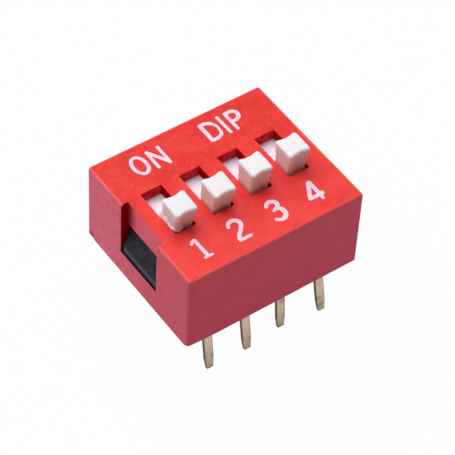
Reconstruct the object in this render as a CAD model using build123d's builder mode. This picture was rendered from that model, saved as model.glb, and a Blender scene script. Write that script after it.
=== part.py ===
"""Four-way slide dip switch.

X runs along the switches from the first to the last, +Y is the on side, +Z is up.
The origin is the middle of the underside, in the plane that sits on the circuit board.
"""
import os
from math import cos, radians, sin

from build123d import *

# Switches and rows
ways = 4
pitch = 2.54
row_spacing = 7.62

# Cover
body_height = 5.5
end_wall = 0.75
side_wall = 0.6
roof = 0.66
draft = 0.15
corner_round = 0.2
top_round = 0.16
slot_length = 3.33
slot_width = 1.33
slot_ease = 0.04
lead_in = 0.12

# Snap window in each end wall, and the catch behind it. The first window has a recess over it.
window_width = 3.5
window_offset = -0.13
recess_depth = 0.47
recess_round = 0.25
window_sill = 1.68
window_head = 3.76
catch_gap = 0.02
catch_play = 0.06
catch_lip = 0.45
catch_setback = 0.1
catch_round = 0.1
catch_corner = 0.15

# Shallow relief in one lower corner, and a worn stretch of rim at another
relief_length = 0.66
relief_height = 0.25
relief_depth = 0.05
wear_length = 1.8
wear_height = 0.11
wear_depth = 0.25

# Slider
knob_head = 1.42
knob_head_depth = 1.68
knob_foot = 1.22
knob_offset = 0.03
knob_depth = 1.6
knob_rise = 1.46
knob_lean = [0.23, 0.22, 0.12, 0.1]
knob_slope = [4.0, 4.0, 1.5, 1.0]
knob_dish = 0.19
knob_corner = 0.17
knob_edge = 0.08
knob_play = 0.03
stand_off = [0.0, 0.0, 0.04, 0.06]
plate_thickness = 0.75
plate_lap = 0.15
skirt_wall = 0.25
skirt_gap = 0.3
peg_diameter = 0.4
peg_length = 0.35

# Base
cell_width = 1.8
base_end = 0.325
base_side = 0.55
floor = 2.0
fit_gap = 0.03
slide_gap = 0.05
cell_gap = 0.12
base_chamfer = 0.15
trough_inset = 0.375
trough_depth = 0.45
trough_margin = 0.4
resin_drop = 0.07
ejector_diameter = 0.9
ejector_depth = 0.06

# Terminals
strip = 0.2
pad_width = 1.2
shoulder = 0.9
pin_width = 0.56
tip_width = 0.4
tip_taper = 0.75
terminal_bend = 0.3
front_pad_end = 0.1
rear_pad_end = 0.65
front_lean = [8.8, 9.8, 6.0, 13.0]
front_reach = [4.17, 4.16, 4.15, 3.98]
rear_lean = [8.0, 9.0, 7.0, 8.0]
rear_reach = [4.16, 4.16, 4.16, 4.16]

# Contact leaf
leaf = 0.1
leaf_width = 0.9
leaf_crown = 0.9
leaf_foot = 0.35
leaf_span = 2.35
leaf_lift = 0.45
leaf_toe = 0.25
leaf_bend = 0.15
leaf_gap = 0.02
peg_clearance = 0.03

# Sizes that follow
body_length = (ways - 1) * pitch + cell_width + 2 * (base_end + fit_gap + end_wall)
body_width = row_spacing + 2 * (base_side + fit_gap + side_wall)
travel = slot_length - knob_depth - 2 * knob_play
plate_top = body_height - roof - slide_gap
plate_bottom = plate_top - plate_thickness
plate_length = slot_length + travel + 2 * plate_lap
plate_width = cell_width - 2 * slide_gap
cell_length = plate_length + travel + 2 * cell_gap
base_length = body_length - 2 * (end_wall + fit_gap)
base_width = body_width - 2 * (side_wall + fit_gap)
base_height = body_height - roof - slide_gap
trough_inner = row_spacing / 2 - trough_inset
trough_outer = body_width / 2 - side_wall
trough_length = base_length - 2 * trough_margin
catch_out = body_length / 2 - catch_setback
way_x = [(n - (ways - 1) / 2) * pitch for n in range(ways)]

os.makedirs("parts", exist_ok=True)


def finish(part, name):
    """Label one piece and write it under its own name."""
    part.label = name
    export_step(part, f"parts/{name}.step")


# Cover: a drafted shell, open below, with a slot over each cell
with BuildPart() as cover:
    with BuildSketch():
        RectangleRounded(body_length, body_width, corner_round)
    extrude(amount=body_height, taper=draft)
    fillet(cover.faces().sort_by(Axis.Z)[-1].edges(), top_round)

    with BuildSketch():
        Rectangle(body_length - 2 * end_wall, body_width - 2 * side_wall)
    extrude(amount=body_height - roof, mode=Mode.SUBTRACT)
    chamfer(cover.faces().sort_by(Axis.Z)[0].inner_wires()[0].edges(), lead_in)

    with BuildSketch(Plane.XY.offset(body_height - roof)):
        with GridLocations(pitch, 0, ways, 1):
            Rectangle(slot_width, slot_length)
    extrude(amount=roof, mode=Mode.SUBTRACT)
    slot_rims = [wire.edges() for wire in cover.faces().sort_by(Axis.Z)[-1].inner_wires()]
    chamfer([edge for rim in slot_rims for edge in rim], slot_ease)

    # Recess down the first end wall, then a window through each
    with BuildSketch(Plane.XY.offset(window_sill)) as recess:
        with Locations((-body_length / 2, window_offset)):
            Rectangle(2 * recess_depth, window_width)
        fillet(recess.vertices().group_by(Axis.X)[-1].sort_by(Axis.Y)[0], recess_round)
    extrude(amount=body_height, mode=Mode.SUBTRACT)
    with BuildSketch(Plane.XY.offset(window_sill)):
        with Locations((-body_length / 2, window_offset), (body_length / 2, window_offset)):
            Rectangle(2 * (end_wall + fit_gap), window_width)
    extrude(amount=window_head - window_sill, mode=Mode.SUBTRACT)

    # Relief in the lower rear corner of the first end wall, and wear at its lower front corner
    with BuildSketch():
        with Locations((-body_length / 2, body_width / 2)):
            Rectangle(2 * relief_depth, 2 * relief_length)
    extrude(amount=relief_height, mode=Mode.SUBTRACT)
    with BuildSketch(Plane.XZ.offset(body_width / 2)):
        with BuildLine():
            Polyline(
                (-body_length / 2, 0),
                (wear_length - body_length / 2, 0),
                (-body_length / 2, wear_height),
                close=True,
            )
        make_face()
    extrude(amount=-wear_depth, mode=Mode.SUBTRACT)
finish(cover.part, "cover")

# Terminals: a pad flush with the cell floor, bent down through the base into a leaning pin
rows = {
    "front": (-1, front_pad_end, front_lean, front_reach),
    "rear": (1, rear_pad_end, rear_lean, rear_reach),
}
terminals = []
for row, (side, pad_end, leans, reaches) in rows.items():
    for n, x in enumerate(way_x):
        lean = radians(leans[n % len(leans)])
        reach = reaches[n % len(reaches)]
        pad_z = floor - strip / 2
        row_y = row_spacing / 2
        tip_z = trough_depth - reach * cos(lean)
        with BuildPart() as terminal:
            with BuildSketch(Plane(origin=(x, 0, 0), x_dir=(0, side, 0), z_dir=(side, 0, 0))):
                with BuildLine():
                    FilletPolyline(
                        (pad_end, pad_z),
                        (row_y, pad_z),
                        (row_y, trough_depth),
                        (row_y + reach * sin(lean), tip_z),
                        radius=terminal_bend,
                    )
                trace(line_width=strip)
            extrude(amount=pad_width / 2, both=True)
            with BuildSketch(Plane(origin=(x, 0, 0), x_dir=(1, 0, 0), z_dir=(0, -1, 0))):
                with BuildLine():
                    half_outline = Polyline(
                        (0, floor),
                        (pad_width / 2, floor),
                        (pad_width / 2, shoulder),
                        (pin_width / 2, shoulder),
                        (pin_width / 2, tip_z + tip_taper),
                        (tip_width / 2, tip_z),
                        (tip_width / 2, tip_z - strip),
                        (0, tip_z - strip),
                    )
                    mirror(half_outline, about=Plane.YZ)
                make_face()
            extrude(amount=body_width, both=True, mode=Mode.INTERSECT)
        finish(terminal.part, f"terminal_{row}_{n + 1}")
        terminals.append(terminal.part)

# Catches: a ramp on each end of the base, with a rounded lip over the sill of the cover's window
with BuildPart() as catches:
    root = (base_length - base_end) / 2
    foot = window_sill + catch_gap
    head = window_head - catch_gap
    with BuildSketch(Plane.XZ) as catch_profile:
        with BuildLine():
            Polyline(
                (root, foot),
                (catch_out, foot),
                (catch_out, foot + catch_lip),
                (base_length / 2, head),
                (root, head),
                close=True,
            )
        make_face()
        fillet(catch_profile.vertices().group_by(Axis.X)[-1], catch_round)
        mirror(about=Plane.YZ)
    extrude(amount=window_width, both=True)
    with BuildSketch():
        with Locations((0, window_offset)):
            RectangleRounded(2 * catch_out, window_width - 2 * catch_play, catch_corner)
    extrude(amount=body_height, mode=Mode.INTERSECT)

# Base: a tray with one cell for each slider, moulded round the terminals
with BuildPart() as base:
    with BuildSketch():
        Rectangle(base_length, base_width)
    extrude(amount=base_height)
    chamfer(base.faces().sort_by(Axis.Z)[-1].edges(), base_chamfer)
    with BuildSketch(Plane.XY.offset(floor)):
        with GridLocations(pitch, 0, ways, 1):
            Rectangle(cell_width, cell_length)
    extrude(amount=base_height, mode=Mode.SUBTRACT)

    # Troughs for the resin, open towards the cover's side walls, and the ejector marks
    with BuildSketch():
        with GridLocations(0, trough_inner + trough_outer, 1, 2):
            Rectangle(trough_length, trough_outer - trough_inner)
    extrude(amount=trough_depth, mode=Mode.SUBTRACT)
    with BuildSketch():
        with GridLocations((ways - 1) * pitch, row_spacing / 2, 2, 2):
            Circle(ejector_diameter / 2)
    extrude(amount=ejector_depth, mode=Mode.SUBTRACT)

    add(catches.part)
    add(terminals, mode=Mode.SUBTRACT)
finish(base.part, "base")

# Resin poured round the pins, from the base to the cover's wall, a little below the rim
for row, (side, *_) in rows.items():
    with BuildPart() as seal:
        with BuildSketch(Plane.XY.offset(resin_drop)):
            with Locations((0, side * (trough_inner + trough_outer) / 2)):
                Rectangle(trough_length, trough_outer - trough_inner)
        extrude(amount=trough_depth - resin_drop)
        add(terminals, mode=Mode.SUBTRACT)
    finish(seal.part, f"seal_{row}")

# Sliders and their contact leaves, all at the front end of their slots or just off it
for n, x in enumerate(way_x):
    rest_y = stand_off[n % len(stand_off)] - travel / 2
    lean = knob_lean[n % len(knob_lean)]
    slope = radians(knob_slope[n % len(knob_slope)])
    seat = Plane(origin=(x, rest_y, 0))

    with BuildPart() as slider:
        with BuildSketch(seat.offset(plate_bottom)):
            Rectangle(plate_width, plate_length)
        extrude(amount=plate_thickness)

        # Knob, hollowed in front and behind, upright in its slot, then spread and tipped forward
        knob_levels = (
            (plate_top, knob_foot, knob_depth, 0, 0),
            (body_height, knob_foot, knob_depth, 0, 0),
            (body_height + knob_rise, knob_head, knob_head_depth, lean, slope),
        )
        for height, width, depth, forward, tip in knob_levels:
            level = Plane(
                origin=(x + knob_offset, rest_y - forward, height),
                x_dir=(1, 0, 0),
                z_dir=(0, -sin(tip), cos(tip)),
            )
            with BuildSketch(level) as knob_outline:
                with BuildLine():
                    front = ThreePointArc(
                        (-width / 2, -depth / 2),
                        (0, -depth / 2 + knob_dish),
                        (width / 2, -depth / 2),
                    )
                    mirror(front, about=Plane.XZ)
                    Line(front @ 0, (-width / 2, depth / 2))
                    Line(front @ 1, (width / 2, depth / 2))
                make_face()
                fillet(knob_outline.vertices(), knob_corner)
        loft(ruled=True)
        chamfer(slider.faces().sort_by(Axis.Z)[-1].edges(), knob_edge)

        # Skirts that run in the cell, and the peg that holds the leaf
        with BuildSketch(seat.offset(plate_bottom)):
            with GridLocations(plate_width - skirt_wall, 0, 2, 1):
                Rectangle(skirt_wall, plate_length - 2 * travel)
        extrude(amount=floor + skirt_gap - plate_bottom)
        with BuildSketch(seat.offset(plate_bottom)):
            Circle(peg_diameter / 2)
        extrude(amount=-peg_length)
    finish(slider.part, f"slider_{n + 1}")

    with BuildPart() as contact:
        crown_z = plate_bottom - leaf / 2
        foot_z = floor + leaf_gap + leaf / 2
        inner = leaf_span / 2 - leaf_foot / 2
        outer = leaf_span / 2 + leaf_foot / 2
        half = [
            (leaf_crown / 2, crown_z),
            (inner, foot_z),
            (outer, foot_z),
            (outer + leaf_toe, foot_z + leaf_lift),
        ]
        path = [(-y, z) for y, z in reversed(half)] + half
        with BuildSketch(Plane(origin=(x, rest_y, 0), x_dir=(0, 1, 0), z_dir=(1, 0, 0))):
            with BuildLine():
                FilletPolyline(*path, radius=leaf_bend)
            trace(line_width=leaf)
        extrude(amount=leaf_width / 2, both=True)
        with BuildSketch(seat.offset(plate_bottom)):
            Circle(peg_diameter / 2 + peg_clearance)
        extrude(amount=-peg_length, mode=Mode.SUBTRACT)
    finish(contact.part, f"contact_{n + 1}")
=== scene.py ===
from math import cos, hypot, pi, radians, sin

import bmesh
import bpy
from mathutils import Matrix, Vector, noise


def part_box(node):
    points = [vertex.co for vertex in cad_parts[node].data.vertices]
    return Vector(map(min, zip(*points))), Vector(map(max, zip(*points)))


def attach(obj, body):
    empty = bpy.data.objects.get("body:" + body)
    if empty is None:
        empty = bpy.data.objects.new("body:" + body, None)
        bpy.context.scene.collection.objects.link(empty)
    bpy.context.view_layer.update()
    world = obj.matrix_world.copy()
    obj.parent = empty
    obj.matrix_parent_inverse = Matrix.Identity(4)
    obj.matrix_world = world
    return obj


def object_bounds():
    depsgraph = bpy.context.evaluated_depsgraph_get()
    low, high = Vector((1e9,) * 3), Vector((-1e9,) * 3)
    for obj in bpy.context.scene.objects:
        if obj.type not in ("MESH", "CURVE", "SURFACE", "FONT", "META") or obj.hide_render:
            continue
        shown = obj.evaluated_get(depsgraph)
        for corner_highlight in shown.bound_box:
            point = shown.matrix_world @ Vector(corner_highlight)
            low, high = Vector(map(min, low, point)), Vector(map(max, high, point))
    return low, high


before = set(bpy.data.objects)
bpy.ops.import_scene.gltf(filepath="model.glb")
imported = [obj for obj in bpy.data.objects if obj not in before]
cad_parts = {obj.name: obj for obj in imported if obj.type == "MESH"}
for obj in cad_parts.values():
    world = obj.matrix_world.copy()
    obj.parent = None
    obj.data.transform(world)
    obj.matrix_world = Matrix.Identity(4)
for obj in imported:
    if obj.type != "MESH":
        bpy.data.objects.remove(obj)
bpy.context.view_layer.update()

# Cover. One red polyester moulding, snapped down over the base. Its faces carry the faint mottle of
# glass-filled resin, its outer edges carry a painted paler highlight, and its top has picked up fine
# scuffs.


class Wire:
    """One output in a material's node tree. Arithmetic on it adds Math nodes."""

    def __init__(self, tree, out=None):
        self.tree, self.out = tree, out

    def node(self, kind, settings=None, inputs=None, output=0):
        """Add a node: its settings first, then the values or links of its sockets."""
        made = self.tree.nodes.new(kind)
        for name, value in (settings or {}).items():
            setattr(made, name, value)
        for key, value in (inputs or {}).items():
            if isinstance(value, Wire):
                self.tree.links.new(value.out, made.inputs[key])
            else:
                made.inputs[key].default_value = value
        return Wire(self.tree, made.outputs[output]) if made.outputs else made

    def maths(self, operation, *values):
        return self.node("ShaderNodeMath", {"operation": operation}, dict(enumerate(values)))

    def __add__(self, other):
        return self.maths("ADD", self, other)

    __radd__ = __add__

    def __mul__(self, other):
        return self.maths("MULTIPLY", self, other)

    __rmul__ = __mul__

    def __sub__(self, other):
        return self.maths("SUBTRACT", self, other)

    def __rsub__(self, other):
        return self.maths("SUBTRACT", other, self)

    def __abs__(self):
        return self.maths("ABSOLUTE", self)

    def larger(self, other):
        return self.maths("MAXIMUM", self, other)

    def step(self, low, high):
        """0 below low, 1 above high, and smooth between."""
        return self.node(
            "ShaderNodeMapRange",
            {"interpolation_type": "SMOOTHSTEP"},
            {"Value": self, "From Min": low, "From Max": high},
        )

    def fade(self, low, high):
        """1 below low, 0 above high, and smooth between."""
        return 1 - self.step(low, high)

    def tint(self, under, over):
        """The colour under, going to over where this value is 1."""
        return self.node(
            "ShaderNodeMix", {"data_type": "RGBA"}, {0: self, 6: under, 7: over}, output=2
        )

    def axes(self):
        """The X, Y and Z of this vector."""
        return [self.node("ShaderNodeSeparateXYZ", {}, {0: self}, output=axis) for axis in range(3)]


def finish_of(name):
    """A new material and the two things it starts from: its tree, and a place in millimetres."""
    material = bpy.data.materials.new(name)
    material.use_nodes = True
    material.node_tree.nodes.clear()
    tree = Wire(material.node_tree)
    place = tree.node("ShaderNodeTexCoord", output=3)
    millimetres = tree.node("ShaderNodeVectorMath", {"operation": "SCALE"}, {0: place, 3: 1000.0})
    return material, tree, millimetres


def speckle(tree, place, grains, detail=3.0, rough=0.6):
    """Cloudy noise from 0 to 1, with so many grains to the millimetre."""
    return tree.node(
        "ShaderNodeTexNoise",
        {},
        {"Vector": place, "Scale": grains, "Detail": detail, "Roughness": rough},
    )


def skin(tree, colour, roughness, height, relief, **constants):
    """The main shader. Height is bumped by relief, in millimetres."""
    bump = tree.node(
        "ShaderNodeBump", {}, {"Strength": 1.0, "Distance": relief / 1000, "Height": height}
    )
    inputs = {"Base Color": colour, "Roughness": roughness, "Normal": bump, **constants}
    return tree.node("ShaderNodeBsdfPrincipled", {}, inputs)


def close(tree, shader):
    tree.node("ShaderNodeOutputMaterial", {}, {"Surface": shader})


cover_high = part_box("cover")[1] * 1000
top_z = cover_high.z
recess_back = cover_high.x - 0.47
corner_round, top_round = 0.2, 0.16
switch_pitch = 2.54
slot_side = 0.585


def red_plastic():
    material, tree, place = finish_of("red_plastic")
    x, y, z = place.axes()
    facing = tree.node("ShaderNodeNewGeometry", output=1).axes()
    across = abs(facing[0]).step(0.4, 0.6)
    cloud = speckle(tree, place, 0.8, 4.0).step(0.36, 0.66)
    mottle = speckle(tree, place, 3.2, 5.0, 0.7)
    grain = speckle(tree, place, 9.0, 2.0)
    fleck = speckle(tree, place, 6.0, 3.0, 0.6)

    to_end = cover_high.x - abs(x)
    to_side = cover_high.y - abs(y)
    to_top = top_z - z
    on_top = to_top.fade(0.01, 0.03)

    # Outside are the four walls, the upright corners and the rounding under the top
    walls = to_end.fade(0.04, 0.08).larger(to_side.fade(0.04, 0.08))
    round_low, round_high = corner_round - 0.02, corner_round + 0.02
    corners = to_end.fade(round_low, round_high) * to_side.fade(round_low, round_high)
    brow = to_end.fade(top_round, top_round + 0.04).larger(to_side.fade(top_round, top_round + 0.04))
    brow = brow * to_top.fade(top_round - 0.01, top_round + 0.03)
    outside = walls.larger(corners).larger(brow)
    # Up-facing ledges well below the top, which get a painted shadow
    ledge_shadow = facing[2].step(0.6, 0.9) * to_top.step(0.5, 0.6)

    # The painted highlights on the rounded edges wander a little
    wander = 0.10 * mottle
    end_edge, side_edge, top_edge = to_end + wander, to_side + wander, to_top + wander
    rim_highlight = end_edge.fade(0.16, 0.26).larger(side_edge.fade(0.16, 0.26)) * top_edge.fade(0.12, 0.26)
    corner_highlight = end_edge.fade(0.12, 0.24) * side_edge.fade(0.12, 0.24)

    # The top: fresh red, with painted light making it a little paler towards the front, and fine pale
    # and dark scuffs
    painted_front_light = y.fade(-3.5, 3.0)
    colour = cloud.tint((0.80, 0.022, 0.014, 1), (0.70, 0.007, 0.005, 1))
    colour = painted_front_light.tint(colour, cloud.tint((0.88, 0.042, 0.036, 1), (0.80, 0.024, 0.022, 1)))
    colour = (mottle.step(0.50, 0.66) * 0.6).tint(colour, (0.88, 0.060, 0.050, 1))
    colour = (mottle.fade(0.34, 0.46) * 0.4).tint(colour, (0.66, 0.010, 0.006, 1))
    colour = (fleck.step(0.62, 0.70) * 0.7).tint(colour, (0.94, 0.13, 0.08, 1))
    colour = (fleck.fade(0.30, 0.37) * 0.6).tint(colour, (0.46, 0.010, 0.010, 1))

    # The slots' edges on the first switch's side are rubbed pale
    repeat = tree.maths("FLOORED_MODULO", x + 2 * switch_pitch, switch_pitch)
    slot_edge = abs(repeat - slot_side).fade(0.02, 0.05) * abs(y).fade(1.60, 1.68)
    colour = (slot_edge * mottle.step(0.30, 0.60) * 0.7).tint(colour, (0.96, 0.20, 0.17, 1))

    # Outer walls: a painted pale sheen for the reflection of the pale surroundings, greyer on the
    # sides and pinker towards the rear of the ends. Round the relief in the first end's lower rear
    # corner they carry painted shade, a darker red.
    painted_wall_sheen = y.step(-2.5, 3.5).tint((0.73, 0.052, 0.100, 1), (0.86, 0.104, 0.185, 1))
    wall = across.tint((0.96, 0.058, 0.118, 1), painted_wall_sheen)
    wall = (cloud * 0.2).tint(wall, (0.68, 0.024, 0.070, 1))
    patchy = 0.18 + 0.35 * across * y.step(-1.0, 3.0)
    wall = (mottle.step(0.48, 0.62) * patchy).tint(wall, (0.98, 0.135, 0.230, 1))
    wall = (mottle.fade(0.36, 0.48) * patchy).tint(wall, (0.56, 0.018, 0.055, 1))
    wall = (fleck.step(0.68, 0.74) * 0.5).tint(wall, (0.34, 0.010, 0.030, 1))
    # Painted shade round the relief in the first end's lower rear corner, under its overhang
    relief_shade = y.step(4.28, 4.34) * z.fade(0.36, 0.46) * (0 - x).step(5.6, 5.7)
    relief_shade_red = (0.40, 0.005, 0.028, 1)
    wall = relief_shade.tint(wall, relief_shade_red)
    colour = (outside * (1 - on_top)).tint(colour, wall)

    # The back of the recess has the painted sheen too, and painted shade in its rear corner
    shade = y.step(0.7, 1.6).tint((0.90, 0.085, 0.145, 1), (0.30, 0.010, 0.015, 1))
    backing = abs(x + recess_back).fade(0.03, 0.06) * across * (1 - on_top)
    colour = backing.tint(colour, shade)

    # Painted highlight along the rounded top edges and upright corners, kept off the painted shade by
    # the relief
    colour = (rim_highlight.larger(corner_highlight) * 0.5 * (1 - relief_shade)).tint(colour, (0.90, 0.150, 0.140, 1))
    relief = grain + 0.6 * mottle
    gloss = 0.40 + 0.14 * grain
    fresh = skin(tree, colour, gloss, relief, 0.008, **{"Specular IOR Level": 0.25})

    # Inside the slots, the recess and the windows the red is dull and painted darker for the shade
    # there, most on walls facing the ends and near the ends, with painted shadow on the sills
    mottled_shade = mottle.step(0.40, 0.65).tint((0.60, 0.012, 0.022, 1), (0.72, 0.060, 0.085, 1))
    inner_shade = across.tint(mottled_shade, (0.34, 0.002, 0.002, 1))
    inner_shade = to_end.fade(0.6, 1.0).tint(inner_shade, (0.36, 0.002, 0.004, 1))
    # The same painted shade round the relief
    inner_shade = relief_shade.tint(inner_shade, relief_shade_red)
    inner_shade = ledge_shadow.tint(inner_shade, (0.035, 0.010, 0.018, 1))
    dull = skin(tree, inner_shade, 0.7, relief, 0.008, **{"Specular IOR Level": 0.0})
    inside = ((1 - outside) * (1 - on_top) * (1 - backing)).larger(ledge_shadow)
    close(tree, tree.node("ShaderNodeMixShader", {}, {0: inside, 1: fresh, 2: dull}))
    return material


def dress(node, material):
    """Give a CAD node its finish."""
    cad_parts[node].data.materials.clear()
    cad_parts[node].data.materials.append(material)


dress("cover", red_plastic())


# Markings. White ink, pad-printed on the cover: the on side, the kind of switch, and a number for each
# slider. The film is thin, with soft shoulders and an edge that wanders a little.

film = 0.012
film_foot = 0.004
film_shoulder = 0.03
film_cell = 0.02
film_ragged = 0.014
oval = [(-3.312 + 0.41 * cos(a * pi / 8), 3.488 + 0.65 * sin(a * pi / 8), 0.108) for a in range(17)]

# Each stroke runs through places given as x, y and half its width
marks = {
    "O": [oval],
    "N": [
        [(-2.488, 2.81, 0.10), (-2.488, 4.10, 0.10)],
        [(-2.47, 4.09, 0.115), (-1.745, 2.85, 0.115)],
        [(-1.732, 2.81, 0.10), (-1.732, 4.12, 0.10)],
    ],
    "D": [
        [(1.155, 2.87, 0.128), (1.155, 4.15, 0.128)],
        [(1.16, 4.15, 0.13), (1.48, 4.15, 0.13), (1.78, 3.99, 0.12), (1.945, 3.70, 0.085),
         (1.955, 3.38, 0.08), (1.90, 3.09, 0.10), (1.70, 2.92, 0.115), (1.44, 2.865, 0.12),
         (1.16, 2.87, 0.125)],
    ],
    "I": [[(2.38, 2.84, 0.10), (2.345, 4.175, 0.10)]],
    "P": [
        [(2.87, 2.85, 0.105), (2.862, 4.17, 0.11)],
        [(2.87, 4.172, 0.12), (3.18, 4.175, 0.125), (3.42, 4.08, 0.125), (3.52, 3.86, 0.125),
         (3.44, 3.62, 0.12), (3.20, 3.48, 0.12), (2.88, 3.465, 0.12)],
    ],
    "1": [
        [(-4.165, -2.765, 0.095), (-4.06, -2.665, 0.10), (-3.90, -2.605, 0.105)],
        [(-3.878, -2.60, 0.11), (-3.865, -3.90, 0.115)],
        [(-4.045, -3.925, 0.085), (-3.60, -3.925, 0.085)],
    ],
    "2": [
        [(-1.825, -2.875, 0.105), (-1.765, -2.745, 0.115), (-1.61, -2.615, 0.13),
         (-1.41, -2.58, 0.138), (-1.215, -2.665, 0.14), (-1.105, -2.85, 0.14),
         (-1.125, -3.02, 0.135), (-1.22, -3.19, 0.125), (-1.39, -3.385, 0.12),
         (-1.59, -3.575, 0.12), (-1.725, -3.76, 0.118), (-1.79, -3.95, 0.11)],
        [(-1.80, -3.966, 0.105), (-1.11, -3.966, 0.105)],
    ],
    "3": [
        [(0.73, -2.80, 0.105), (0.845, -2.665, 0.12), (1.045, -2.585, 0.135), (1.26, -2.665, 0.145),
         (1.375, -2.85, 0.14), (1.335, -3.03, 0.13), (1.16, -3.17, 0.13), (0.965, -3.23, 0.105)],
        [(1.16, -3.20, 0.12), (1.335, -3.31, 0.14), (1.395, -3.53, 0.148), (1.355, -3.755, 0.14),
         (1.215, -3.925, 0.138), (1.03, -3.985, 0.13), (0.845, -3.93, 0.12), (0.69, -3.815, 0.11)],
    ],
    "4": [
        [(3.15, -3.57, 0.125), (3.695, -2.63, 0.125)],
        [(3.77, -2.62, 0.13), (3.771, -3.60, 0.13)],
        [(3.125, -3.63, 0.125), (3.65, -3.64, 0.135), (3.915, -3.61, 0.155)],
        [(3.775, -3.72, 0.115), (3.765, -3.90, 0.085), (3.80, -4.02, 0.04)],
        [(3.74, -3.84, 0.08), (3.71, -3.97, 0.05)],
    ],
}

# Small gaps in the ink, each from one place to another with a radius
nicks = {"D": [(1.105, 4.09, 1.14, 4.165, 0.012)], "P": [(3.365, 3.485, 3.425, 3.555, 0.02)]}


def curve_through(points, steps=6):
    """More points along a smooth line through these, each still with its half width."""
    if len(points) == 2:
        return points
    rich = []
    for i in range(len(points) - 1):
        before, here = points[max(i - 1, 0)], points[i]
        after, beyond = points[i + 1], points[min(i + 2, len(points) - 1)]
        for k in range(steps):
            t = k / steps
            rich.append(tuple(
                0.5 * (2 * b + (c - a) * t + (2 * a - 5 * b + 4 * c - d) * t * t
                       + (3 * b - a - 3 * c + d) * t ** 3)
                for a, b, c, d in zip(before, here, after, beyond)
            ))
    return rich + [points[-1]]


def inside_by(x, y, runs, gaps):
    """How far a place lies inside the ink. It is negative outside."""
    depth = -1.0
    for (x0, y0, r0), (x1, y1, r1) in runs:
        dx, dy = x1 - x0, y1 - y0
        t = ((x - x0) * dx + (y - y0) * dy) / (dx * dx + dy * dy)
        t = min(max(t, 0.0), 1.0)
        depth = max(depth, r0 + (r1 - r0) * t - hypot(x - x0 - dx * t, y - y0 - dy * t))
    for x0, y0, x1, y1, radius in gaps:
        dx, dy = x1 - x0, y1 - y0
        t = min(max(((x - x0) * dx + (y - y0) * dy) / (dx * dx + dy * dy), 0.0), 1.0)
        depth = min(depth, hypot(x - x0 - dx * t, y - y0 - dy * t) - radius)
    return depth + film_ragged * noise.noise(Vector((x * 7, y * 7, 3.0)))


def ink_film(name, strokes, gaps):
    """A closed film whose outline is where the ink's depth is nought."""
    runs = []
    for stroke in strokes:
        rich = curve_through(stroke)
        runs += zip(rich, rich[1:])
    xs = [p[0] for run in runs for p in run]
    ys = [p[1] for run in runs for p in run]
    margin = 0.2
    left, foot = min(xs) - margin, min(ys) - margin
    columns = int((max(xs) + margin - left) / film_cell) + 1
    rows = int((max(ys) + margin - foot) / film_cell) + 1
    depth = {
        (i, j): inside_by(left + i * film_cell, foot + j * film_cell, runs, gaps)
        for i in range(columns + 1)
        for j in range(rows + 1)
    }
    places, heights, known, faces, rims = [], [], {}, [], []

    def vertex(key, i, j, inside):
        if key not in known:
            known[key] = len(places)
            rise = min(max(inside, 0.0) / film_shoulder, 1.0)
            places.append((left + i * film_cell, foot + j * film_cell))
            heights.append(film * rise * (2 - rise))
        return known[key]

    for i in range(columns):
        for j in range(rows):
            ring = [(i, j), (i + 1, j), (i + 1, j + 1), (i, j + 1)]
            values = [depth[c] for c in ring]
            if max(values) <= 0:
                continue
            face, crossings = [], []
            for k in range(4):
                (ai, aj), (bi, bj) = ring[k], ring[(k + 1) % 4]
                a, b = values[k], values[(k + 1) % 4]
                if a > 0:
                    face.append(vertex((ai, aj), ai, aj, a))
                if (a > 0) != (b > 0):
                    t = a / (a - b)
                    key = (min(ai, bi), min(aj, bj), "across" if aj == bj else "up")
                    face.append(vertex(key, ai + (bi - ai) * t, aj + (bj - aj) * t, 0.0))
                    crossings.append((face[-1], a > 0))
            faces.append(face)
            for k, (point, leaving) in enumerate(crossings):
                if leaving:
                    rims.append((point, crossings[(k + 1) % len(crossings)][0]))
    count = len(places)
    upper = [(x / 1000, y / 1000, (top_z + h) / 1000) for (x, y), h in zip(places, heights)]
    lower = [(x / 1000, y / 1000, (top_z - film_foot) / 1000) for x, y in places]
    under = [[v + count for v in reversed(face)] for face in faces]
    edges = [(b, a, a + count, b + count) for a, b in rims]
    mesh = bpy.data.meshes.new(name)
    mesh.from_pydata(upper + lower, [], faces + under + edges)
    mesh.validate()
    mesh.shade_smooth()
    return mesh


def white_ink():
    material, tree, place = finish_of("white_ink")
    cloud = speckle(tree, place, 2.5, 4.0)
    thin = speckle(tree, place, 6.0, 4.0, 0.7).step(0.60, 0.75)
    colour = cloud.tint((0.90, 0.63, 0.75, 1), (0.87, 0.68, 0.80, 1))
    colour = (thin * 0.5).tint(colour, (0.84, 0.46, 0.50, 1))
    close(tree, skin(tree, colour, 0.45 + 0.15 * cloud, cloud, 0.004))
    return material


ink = white_ink()
for sign, strokes in marks.items():
    mark = bpy.data.objects.new(f"mark_{sign}", ink_film(f"mark_{sign}", strokes, nicks.get(sign, [])))
    bpy.context.scene.collection.objects.link(mark)
    mark.data.materials.append(ink)
    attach(mark, "housing")


# Sliders. Four white polyester mouldings, each a knob with hollowed front and rear faces on the
# plate that closes its slot from below. They are satin, with a painted warm glow at the foot for the
# red light the cover throws on them.


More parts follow.
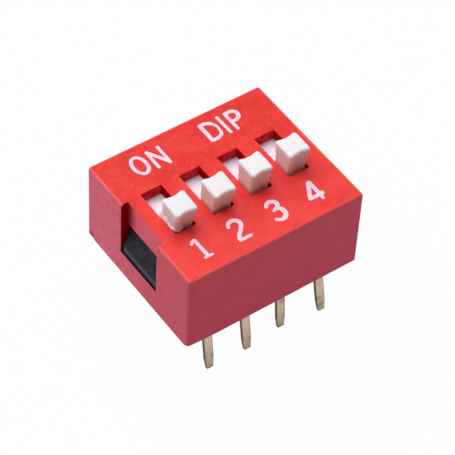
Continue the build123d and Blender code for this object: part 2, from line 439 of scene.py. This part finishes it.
def white_plastic():
    material, tree, place = finish_of("white_plastic")
    z = place.axes()[2]
    upright = tree.node("ShaderNodeNewGeometry", output=1).axes()[2].fade(0.1, 0.6)
    cloud = speckle(tree, place, 1.6, 3.0)
    grain = speckle(tree, place, 14.0, 2.0)
    blotch = speckle(tree, place, 3.5, 4.0, 0.7)
    colour = cloud.tint((0.88, 0.86, 0.88, 1), (0.84, 0.81, 0.84, 1))
    # Painted shade: the upright sides are a little darker and greener than the top
    colour = upright.tint(colour, (0.80, 0.84, 0.81, 1))
    # Painted reflected light: the sides warm towards the foot, for the red the cover throws on them
    colour = (upright * z.fade(top_z, top_z + 0.7)).tint(colour, (1.0, 0.80, 0.70, 1))
    relief = grain + blotch
    gloss = 0.36 + 0.12 * grain
    glow = {
        "Subsurface Weight": 0.60,
        "Subsurface Radius": (1.0, 0.30, 0.26),
        "Subsurface Scale": 0.0009,
    }
    knob = skin(tree, colour, gloss, relief, 0.006, **glow)

    # Down in the slots it takes on a painted lilac cast, standing in for the light reflected onto it
    # there, blotched with red dust
    lilac = blotch.step(0.35, 0.65).tint((1.0, 0.86, 1.0, 1), (0.94, 0.78, 0.90, 1))
    lilac = (blotch.step(0.60, 0.72) * 0.4).tint(lilac, (0.76, 0.46, 0.55, 1))
    plate = skin(tree, lilac, gloss, relief, 0.006)
    down = z.fade(top_z - 0.6, top_z - 0.3)
    close(tree, tree.node("ShaderNodeMixShader", {}, {0: down, 1: knob, 2: plate}))
    return material


white = white_plastic()
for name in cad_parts:
    if name.startswith("slider_"):
        dress(name, white)


# Flash on the first knob. A ragged white burr was left along the parting line at its foot, up its
# outer side, round the corner and a little way along the front.

burr_path = [
    # x, y, foot, head, thickness
    (-4.38, -0.06, 5.10, 5.56, 0.03),
    (-4.40, -0.22, 5.36, 5.86, 0.05),
    (-4.40, -0.42, 5.51, 6.00, 0.09),
    (-4.40, -0.60, 5.51, 5.90, 0.10),
    (-4.40, -0.76, 5.51, 6.02, 0.12),
    (-4.40, -0.94, 5.51, 5.76, 0.08),
    (-4.40, -1.10, 5.51, 5.82, 0.10),
    (-4.40, -1.28, 5.51, 5.68, 0.09),
    (-4.36, -1.48, 5.47, 5.80, 0.06),
    (-4.22, -1.57, 5.44, 5.72, 0.05),
    (-4.08, -1.56, 5.44, 5.80, 0.05),
    (-3.95, -1.52, 5.44, 5.66, 0.04),
    (-3.84, -1.50, 5.46, 5.58, 0.02),
]
burr_root = 0.05
burr_ragged = 0.10


def burr(name, path):
    """A ragged fin along a path, thickest near its foot, with its inner face sunk in the knob."""
    line = curve_through(path, steps=7)
    mesh = bmesh.new()
    rings = []
    for i, (x, y, foot, head, thick) in enumerate(line):
        before, after = line[max(i - 1, 0)], line[min(i + 1, len(line) - 1)]
        along = Vector((after[0] - before[0], after[1] - before[1])).normalized()
        out = Vector((along.y, -along.x))
        high = head + burr_ragged * noise.noise(Vector((x * 6, y * 6, 1.0)))
        thick *= 1 + 0.5 * noise.noise(Vector((x * 5, y * 5, 9.0)))
        tall = high - foot
        section = [
            (-burr_root, foot),
            (thick * 0.8, foot),
            (thick, foot + tall * 0.2),
            (thick * 0.7, foot + tall * 0.5),
            (thick * 0.35, foot + tall * 0.8),
            (0.0, high),
            (-burr_root, high - tall * 0.1),
        ]
        rings.append([
            mesh.verts.new(((x + out.x * reach) / 1000, (y + out.y * reach) / 1000, z / 1000))
            for reach, z in section
        ])
    for ring, following in zip(rings, rings[1:]):
        for k in range(len(ring)):
            j = (k + 1) % len(ring)
            mesh.faces.new((ring[k], ring[j], following[j], following[k]))
    mesh.faces.new(rings[0][::-1])
    mesh.faces.new(rings[-1])
    bmesh.ops.recalc_face_normals(mesh, faces=mesh.faces)
    bmesh.ops.subdivide_edges(mesh, edges=mesh.edges, cuts=1, use_grid_fill=True, smooth=0.6)
    made = bpy.data.meshes.new(name)
    mesh.to_mesh(made)
    mesh.free()
    made.shade_smooth()
    return made


def pale_flash():
    material, tree, place = finish_of("pale_flash")
    cloud = speckle(tree, place, 5.0, 3.0)
    colour = cloud.step(0.35, 0.65).tint((1.0, 0.94, 0.97, 1), (1.0, 0.82, 0.86, 1))
    close(tree, skin(tree, colour, 0.5 + 0.1 * cloud, cloud, 0.006))
    return material


flash = bpy.data.objects.new("flash_1", burr("flash_1", burr_path))
bpy.context.scene.collection.objects.link(flash)
flash.data.materials.append(pale_flash())
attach(flash, "switch_1")


# Base. A black polyester tray, moulded round the terminals, whose catches show in the windows of the
# end walls. Its skin is matt and finely grained, with pale glass specks.


def black_plastic():
    material, tree, place = finish_of("black_plastic")
    x, y, z = place.axes()
    cloud = speckle(tree, place, 1.8, 4.0)
    grain = speckle(tree, place, 7.0, 4.0, 0.7)
    speck = speckle(tree, place, 5.0, 1.0).step(0.76, 0.80)
    colour = cloud.step(0.35, 0.65).tint((0.005, 0.003, 0.006, 1), (0.013, 0.010, 0.017, 1))
    colour = (grain.step(0.50, 0.62) * 0.9).tint(colour, (0.040, 0.034, 0.060, 1))

    # The catches: a bluish painted highlight along the lip, and painted shade in the corner under the
    # window's head
    lip_highlight = (z + 0.1 * grain).fade(2.14, 2.38) * abs(x).step(5.4, 5.5)
    colour = (lip_highlight * 0.85).tint(colour, (0.060, 0.068, 0.094, 1))
    shade = y.step(0.6, 1.5) * z.step(2.6, 3.3)
    colour = (shade * 0.9).tint(colour, (0.004, 0.001, 0.002, 1))
    colour = (speck * 0.6).tint(colour, (0.16, 0.16, 0.16, 1))
    close(tree, skin(tree, colour, 0.60 - 0.15 * grain, grain, 0.03, **{"Specular IOR Level": 0.15}))
    return material


dress("base", black_plastic())


# Terminals. Stamped from thin brass strip: a dull skin, browned in patches and towards the tips, and
# dark sheared edges.


def strip_brass():
    material, tree, place = finish_of("strip_brass")
    x, _, z = place.axes()
    off_centre = abs(abs(abs(x) - switch_pitch) - switch_pitch / 2)
    facing = abs(tree.node("ShaderNodeNewGeometry", output=1).axes()[0])
    cloud = speckle(tree, place, 2.0, 4.0)
    patch = speckle(tree, place, 1.6, 5.0, 0.7).step(0.52, 0.66)
    grain = speckle(tree, place, 16.0, 3.0)
    tip = z.fade(-3.7, -1.6)
    colour = cloud.tint((0.72, 0.56, 0.42, 1), (0.64, 0.49, 0.36, 1))
    colour = (tip * 0.65).tint(colour, (0.34, 0.24, 0.14, 1))
    colour = (off_centre.step(0.17, 0.27) * 0.5).tint(colour, (0.28, 0.19, 0.11, 1))
    colour = (z.fade(-3.62, -3.40) * 0.6).tint(colour, (0.10, 0.06, 0.04, 1))
    colour = (patch * 0.7).tint(colour, (0.30, 0.19, 0.09, 1))
    colour = facing.step(0.5, 0.8).tint(colour, (0.060, 0.038, 0.026, 1))
    close(tree, skin(tree, colour, 0.38 + 0.2 * grain, grain, 0.006, Metallic=0.8))
    return material


brass = strip_brass()
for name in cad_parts:
    if name.startswith("terminal_"):
        dress(name, brass)


# Contact leaves. Bent from thin spring metal with a bright plating. Each is held under its slider,
# where the part hides it.


def plated_leaf():
    material, tree, place = finish_of("plated_leaf")
    cloud = speckle(tree, place, 3.0, 3.0)
    colour = cloud.tint((0.80, 0.60, 0.28, 1), (0.68, 0.48, 0.20, 1))
    close(tree, skin(tree, colour, 0.25 + 0.1 * cloud, cloud, 0.002, Metallic=1.0))
    return material


plating = plated_leaf()
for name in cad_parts:
    if name.startswith("contact_"):
        dress(name, plating)


# Seals. Dark casting resin, poured in the two troughs of the base, round the pins, and left to set
# with a slightly wavy gloss.


def casting_resin():
    material, tree, place = finish_of("casting_resin")
    wave = speckle(tree, place, 0.8, 2.0)
    colour = wave.tint((0.020, 0.018, 0.016, 1), (0.045, 0.040, 0.034, 1))
    close(tree, skin(tree, colour, 0.16 + 0.12 * wave, wave, 0.05))
    return material


resin = casting_resin()
for name in ("seal_front", "seal_rear"):
    dress(name, resin)


# Studio. A pale floor under the pin tips, one broad soft lamp above and behind, and a dim room. The
# floor and the room are white to the camera, but for the part's shadow.

floor_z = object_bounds()[0].z
floor_reach = 0.6
floor_white = 0.98
room_light = 0.14
floor_mesh = bpy.data.meshes.new("floor")
floor_corners = [(-1, -1), (1, -1), (1, 1), (-1, 1)]
floor_mesh.from_pydata(
    [(x * floor_reach, y * floor_reach, floor_z) for x, y in floor_corners], [], [(0, 1, 2, 3)]
)
floor = bpy.data.objects.new("floor", floor_mesh)
bpy.context.scene.collection.objects.link(floor)


def seen_ray(tree):
    """1 for rays from the camera, and for those mirrored or let through by the object."""
    path = tree.node("ShaderNodeLightPath").out.node
    camera, glossy, passed = (
        Wire(tree.tree, path.outputs[kind])
        for kind in ("Is Camera Ray", "Is Glossy Ray", "Is Transmission Ray")
    )
    return camera.larger(glossy).larger(passed)


paper = bpy.data.materials.new("paper")
paper.use_nodes = True
paper.node_tree.nodes.clear()
tree = Wire(paper.node_tree)
shaded = tree.node("ShaderNodeBsdfDiffuse", {}, {"Color": (0.60, 0.61, 0.66, 1)})
bright = tree.node("ShaderNodeEmission", {}, {"Color": (1, 1, 1, 1), "Strength": 1.0})
both = tree.node("ShaderNodeMixShader", {}, {0: seen_ray(tree) * floor_white, 1: shaded, 2: bright})
tree.node("ShaderNodeOutputMaterial", {}, {"Surface": both})
floor_mesh.materials.append(paper)

scene = bpy.context.scene
scene.view_settings.view_transform = "Standard"
room = bpy.data.worlds.new("room")
room.use_nodes = True
room.node_tree.nodes.clear()
tree = Wire(room.node_tree)
dim = tree.node("ShaderNodeBackground", {}, {"Color": (1, 1, 1, 1), "Strength": room_light})
clear = tree.node("ShaderNodeBackground", {}, {"Color": (1, 1, 1, 1), "Strength": 1.0})
both = tree.node("ShaderNodeMixShader", {}, {0: seen_ray(tree), 1: dim, 2: clear})
tree.node("ShaderNodeOutputWorld", {}, {"Surface": both})
scene.world = room


def soft_lamp(name, place, size, power):
    """A square soft box that faces the part."""
    lamp = bpy.data.lights.new(name, "AREA")
    lamp.shape, lamp.size, lamp.energy = "SQUARE", size, power
    holder = bpy.data.objects.new(name, lamp)
    holder.location = place
    holder.rotation_euler = (-Vector(place)).to_track_quat("-Z", "Y").to_euler()
    scene.collection.objects.link(holder)


soft_lamp("overhead", (-0.05, 0.18, 0.32), 0.5, 2.15)

# Camera. A long lens, turned to the first switch's front corner and tipped a little. Its places are
# in metres, and its focal length is in pixels of the photo's frame.

azimuth, elevation, roll = radians(-37.81), radians(48.99), radians(3.50)
distance = 0.12078
aim = Vector((0, 0, 0.0025))
back = Vector((sin(azimuth) * cos(elevation), -cos(azimuth) * cos(elevation), sin(elevation)))
level = Vector((cos(azimuth), sin(azimuth), 0))
across = level * cos(roll) + back.cross(level) * sin(roll)
upward = back.cross(across)
aside, above = 0.000227, -0.000604
frame_px, focal_px = 455, 2160.7
camera_data = bpy.data.cameras.new("camera")
camera_data.sensor_width = 36.0
camera_data.lens = camera_data.sensor_width * focal_px / frame_px
camera_data.clip_start, camera_data.clip_end = 0.01, 5.0
camera = bpy.data.objects.new("camera", camera_data)
turn = Matrix((across, upward, back)).transposed().to_4x4()
stand = aim + back * distance + across * aside + upward * above
camera.matrix_world = Matrix.Translation(stand) @ turn
scene.collection.objects.link(camera)
scene.camera = camera
